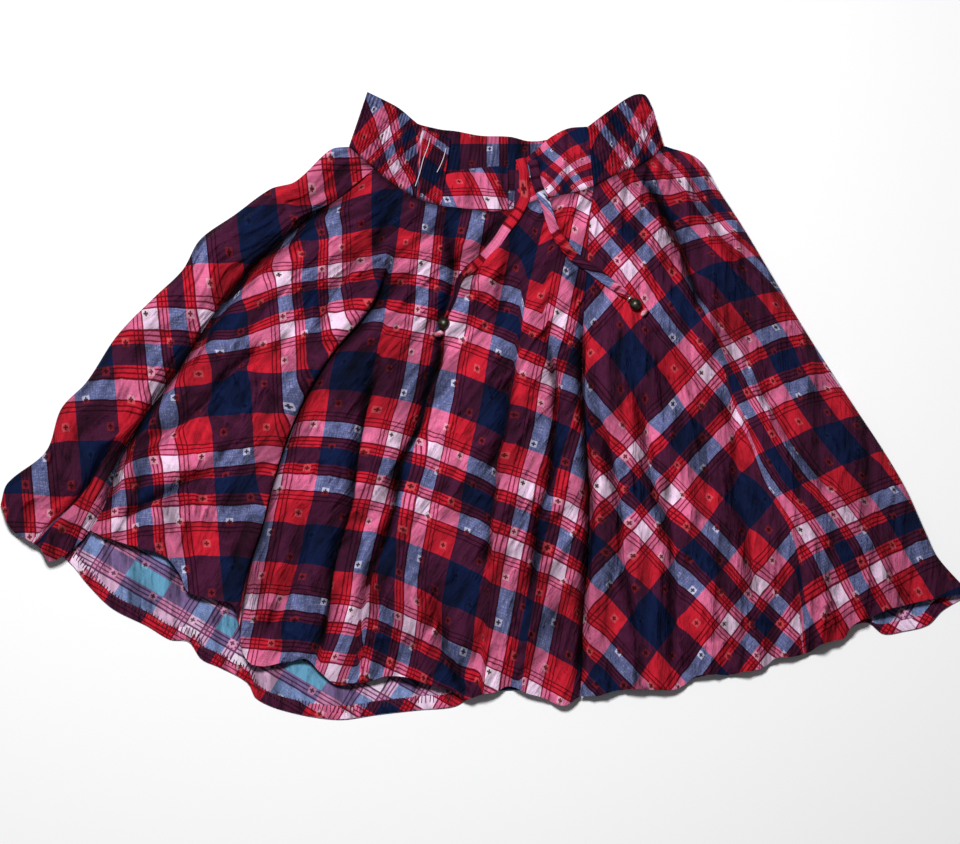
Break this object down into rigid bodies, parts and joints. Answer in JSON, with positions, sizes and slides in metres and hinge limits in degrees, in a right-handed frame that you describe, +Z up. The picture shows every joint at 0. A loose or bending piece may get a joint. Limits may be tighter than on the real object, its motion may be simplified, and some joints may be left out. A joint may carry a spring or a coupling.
{
  "type": "skirt",
  "caption": "Flared plaid skirt laid flat, with a part-shirred waistband and two beaded self-fabric ties.",
  "frame": {"origin": "middle of the laid skirt's bounding box, on the surface that it lies on", "axes": "+X across the skirt towards the right side seen from the front, +Y from the hem towards the waist, +Z up"},
  "size_m": [0.842, 0.558, 0.028],
  "materials": {
    "plaid_cloth": "light crinkled viscose, plaid in red, navy and white, matt with a slight sheen",
    "plaid_wrong_side": "the same cloth's paler wrong side",
    "shirred_cloth": "plaid cloth gathered on rows of elastic thread",
    "tie_cloth": "plaid cloth turned into a flat tube",
    "bead_metal": "aged dark metal, polished",
    "spacer_metal": "bright worn silver colour"
  },
  "bodies": {
    "root": {"skirt_side_left": "plaid_cloth", "skirt_front": "plaid_cloth", "skirt_side_right": "plaid_cloth", "skirt_back": "plaid_wrong_side", "hem_back": "plaid_cloth", "band_shirred_left": "shirred_cloth", "band_plain_left": "plaid_cloth", "band_plain_right": "plaid_cloth", "band_shirred_right": "shirred_cloth", "band_back": "plaid_cloth", "tie_left": "tie_cloth", "tie_right": "tie_cloth", "bead_left": "bead_metal", "bead_right": "bead_metal", "spacer_right": "spacer_metal", "knot_left": "tie_cloth", "knot_right": "tie_cloth"}
  },
  "joints": []
}
